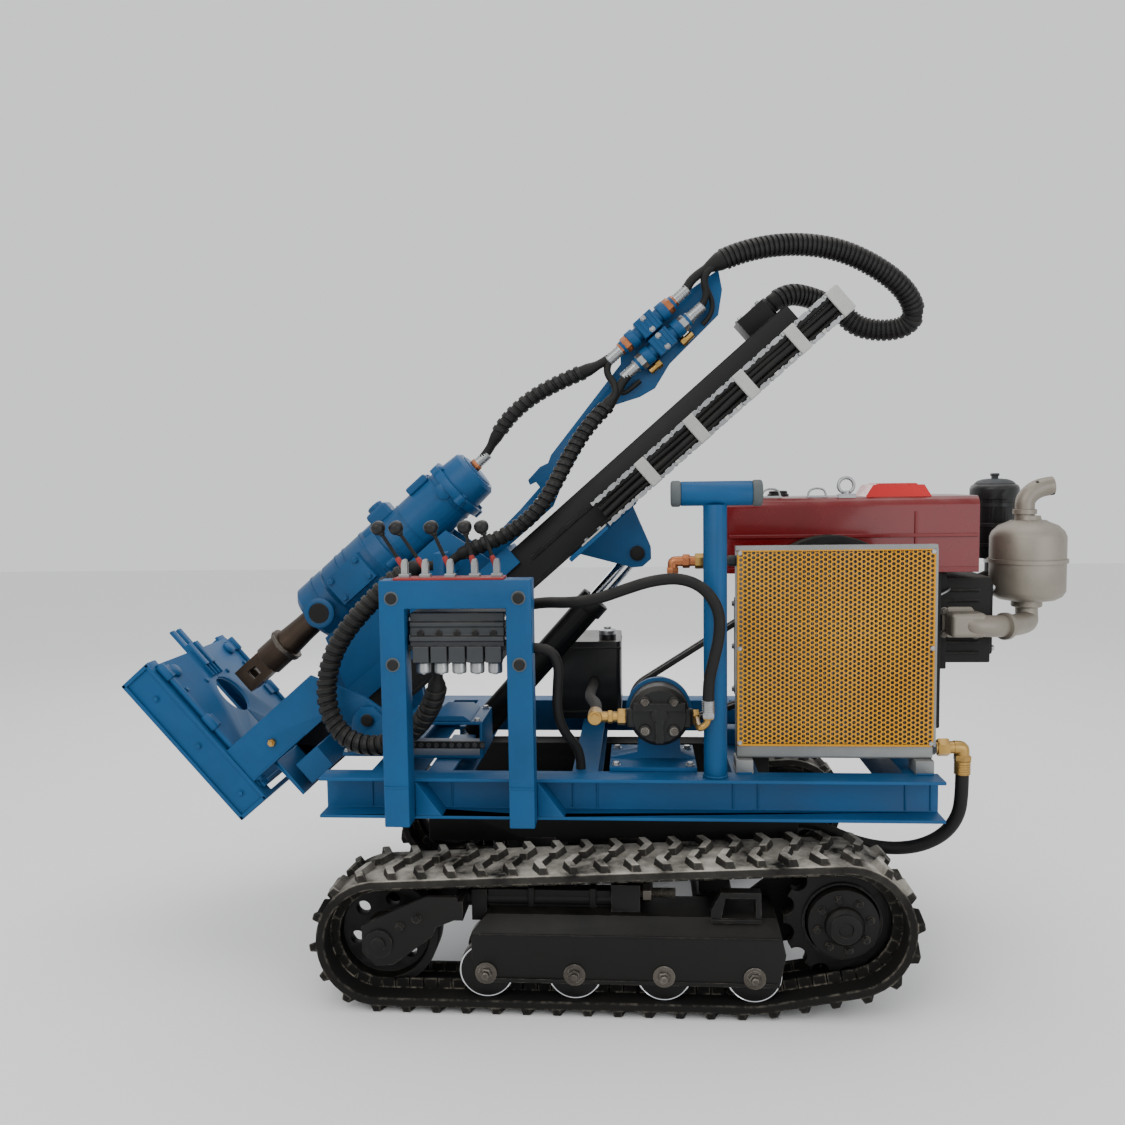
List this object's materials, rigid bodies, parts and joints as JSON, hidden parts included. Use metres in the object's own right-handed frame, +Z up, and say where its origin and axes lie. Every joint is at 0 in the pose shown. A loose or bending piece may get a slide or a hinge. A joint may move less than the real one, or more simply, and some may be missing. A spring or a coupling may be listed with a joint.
{
  "type": "crawler drilling rig",
  "caption": "Small crawler drilling rig: a rotary head feeds along a tilting mast on a tracked chassis with a diesel engine, hydraulic pump, oil cooler and lever valve stand.",
  "frame": {"origin": "on the ground, half way along the tracks and between them", "axes": "+X to the engine end, +Y to the far side from the valve stand, +Z up"},
  "size_m": [2.5542, 1.101, 1.9295],
  "materials": {
    "track_rubber": "matt black rubber, dusty on its treads",
    "running_gear_black": "satin black paint, dusty and worn at the edges",
    "frame_blue": "bright blue machine paint, satin",
    "beam_black": "satin black paint",
    "head_blue": "bright blue paint over castings, semi-gloss",
    "valve_grey": "bare grey castings",
    "lever_steel": "bright sticks with black knobs",
    "engine_iron": "dark painted castings",
    "hood_red": "deep red gloss paint",
    "pump_black": "satin black paint",
    "belt_rubber": "matt black",
    "filter_black": "black with a slight sheen",
    "muffler_coat": "heat-proof silver coat, lightly stained",
    "cooler_grey": "grey with bare fins",
    "guard_yellow": "yellow perforated sheet",
    "brass": "dull brass",
    "chain_steel": "bright zinc links with grey bars",
    "barrel_black": "satin black paint",
    "rod_chrome": "polished",
    "chuck_steel": "dark oily steel, brown with age",
    "hose_rubber": "black hose in a spiral wrap"
  },
  "bodies": {
    "root": {"track_near": "track_rubber", "track_far": "track_rubber", "sprocket_near": "running_gear_black", "sprocket_far": "running_gear_black", "idler_near": "running_gear_black", "idler_far": "running_gear_black", "rollers_near": "running_gear_black", "rollers_far": "running_gear_black", "track_frame_near": "running_gear_black", "track_frame_far": "running_gear_black", "carbody": "running_gear_black", "chassis_frame": "frame_blue", "hinge_feet": "frame_blue", "deck_box": "frame_blue", "valve_stand": "frame_blue", "valve_bank": "valve_grey", "valve_levers": "lever_steel", "engine_block": "engine_iron", "engine_hood": "hood_red", "flywheel": "engine_iron", "pump": "pump_black", "pump_mount": "frame_blue", "pump_pulley": "pump_black", "drive_belts": "belt_rubber", "air_filter": "filter_black", "muffler": "muffler_coat", "oil_cooler": "cooler_grey", "cooler_guard": "guard_yellow", "cooler_fittings": "brass", "oil_tank": "pump_black", "rest_post": "frame_blue", "rest_pads": "belt_rubber", "pump_fittings": "brass", "valve_hose": "hose_rubber", "pump_hose": "hose_rubber", "return_hose": "hose_rubber", "cooler_hose": "hose_rubber", "suction_hose": "hose_rubber"},
    "mast": {"mast_beam": "beam_black", "front_frame": "frame_blue", "guide_near": "frame_blue", "guide_far": "frame_blue", "lift_bracket": "frame_blue", "cable_chain": "chain_steel", "feed_motor": "pump_black"},
    "lift_barrel": {"lift_barrel": "barrel_black"},
    "lift_rod": {"lift_rod": "rod_chrome"},
    "head": {"carriage": "frame_blue", "drill_head": "head_blue", "hose_arm": "frame_blue", "head_hose": "hose_rubber", "loop_hose": "hose_rubber", "bulkhead_hose": "hose_rubber"},
    "spindle": {"spindle": "chuck_steel"}
  },
  "joints": [
    {"name": "mast_tilt", "type": "hinge", "parent": "root", "child": "mast", "pos_m": [-0.64, 0, 0.65], "axis": [0, -1, 0], "range_deg": [-4, 49]},
    {"name": "lift_swing", "type": "hinge", "parent": "root", "child": "lift_barrel", "pos_m": [-0.42, 0, 0.52], "axis": [0, -1, 0], "range_deg": [-3.9, 47.2]},
    {"name": "lift_stroke", "type": "slide", "parent": "lift_barrel", "child": "lift_rod", "axis": [0.6681, 0, 0.7441], "range_m": [-0.0175, 0.21]},
    {"name": "head_feed", "type": "slide", "parent": "mast", "child": "head", "axis": [0.7547, 0, 0.6561], "range_m": [0, 0.85]},
    {"name": "spindle_spin", "type": "hinge", "parent": "head", "child": "spindle", "pos_m": [-0.80695, 0, 0.92829], "axis": [0.7547, 0, 0.6561], "continuous": true}
  ],
  "couplings": [
    {"joint": "lift_swing", "follows": "mast_tilt", "ratio": 0.96},
    {"joint": "lift_stroke", "follows": "mast_tilt", "m_per_rad": 0.245}
  ]
}
